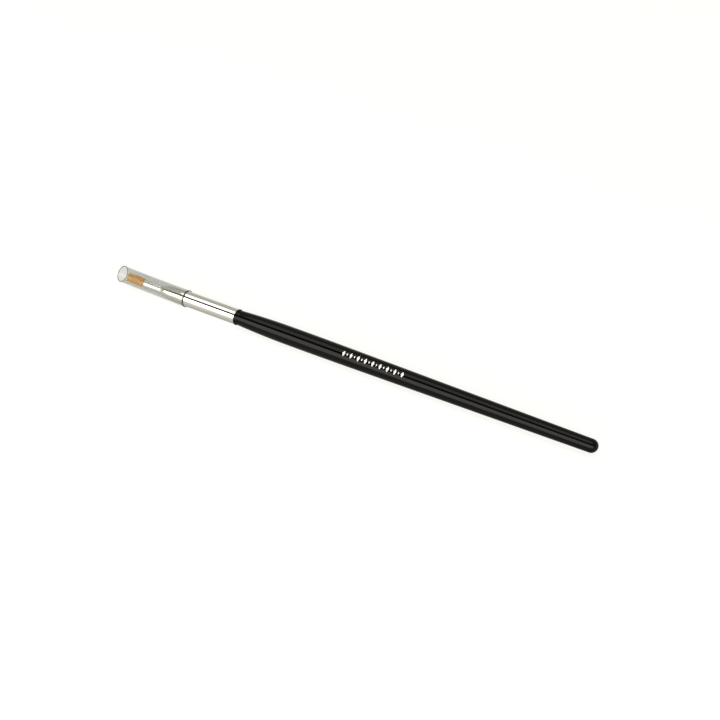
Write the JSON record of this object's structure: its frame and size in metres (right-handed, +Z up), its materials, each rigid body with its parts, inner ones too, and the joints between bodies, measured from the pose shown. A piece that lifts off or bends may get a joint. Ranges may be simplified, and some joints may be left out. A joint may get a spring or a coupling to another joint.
{
  "type": "tint brush",
  "caption": "Fine tint brush with a lacquered wooden handle, plated stepped ferrule, straight-cut filament tuft and a clear slide-off sleeve.",
  "frame": {"origin": "middle of the overall length, in the plane of the surface that the handle's belly rests on", "axes": "+X along the brush axis from the tuft towards the butt of the handle, +Z up"},
  "size_m": [0.1716, 0.0061, 0.0062],
  "materials": {
    "handle_wood": "pale close-grained turned hardwood, hidden under the lacquer",
    "black_lacquer": "dipped high-gloss black lacquer",
    "nickel_plate": "bright nickel plate with faint drawing lines",
    "filament": "translucent orange-gold synthetic filament",
    "thread": "undyed tying thread",
    "cured_glue": "amber cured resin",
    "clear_tube": "clear, faintly grey-green flexible tube"
  },
  "bodies": {
    "root": {"handle_core": "handle_wood", "handle_lacquer": "black_lacquer", "ferrule": "nickel_plate", "tuft_roots": "filament", "binding_thread": "thread", "root_glue_plug": "cured_glue", "tenon_glue": "cured_glue"},
    "tuft": {"bristle_tuft": "filament"},
    "sleeve": {"protective_sleeve": "clear_tube"}
  },
  "joints": [
    {"name": "sleeve_slide", "type": "slide", "parent": "root", "child": "sleeve", "axis": [-1, 0, 0], "range_m": [0, 0.03]},
    {"name": "tuft_flex", "type": "hinge", "parent": "root", "child": "tuft", "pos_m": [-0.0759, 0, 0.00302], "axis": [0, 1, 0], "range_deg": [-2, 7], "stiffness_Nm_per_rad": 0.001}
  ]
}
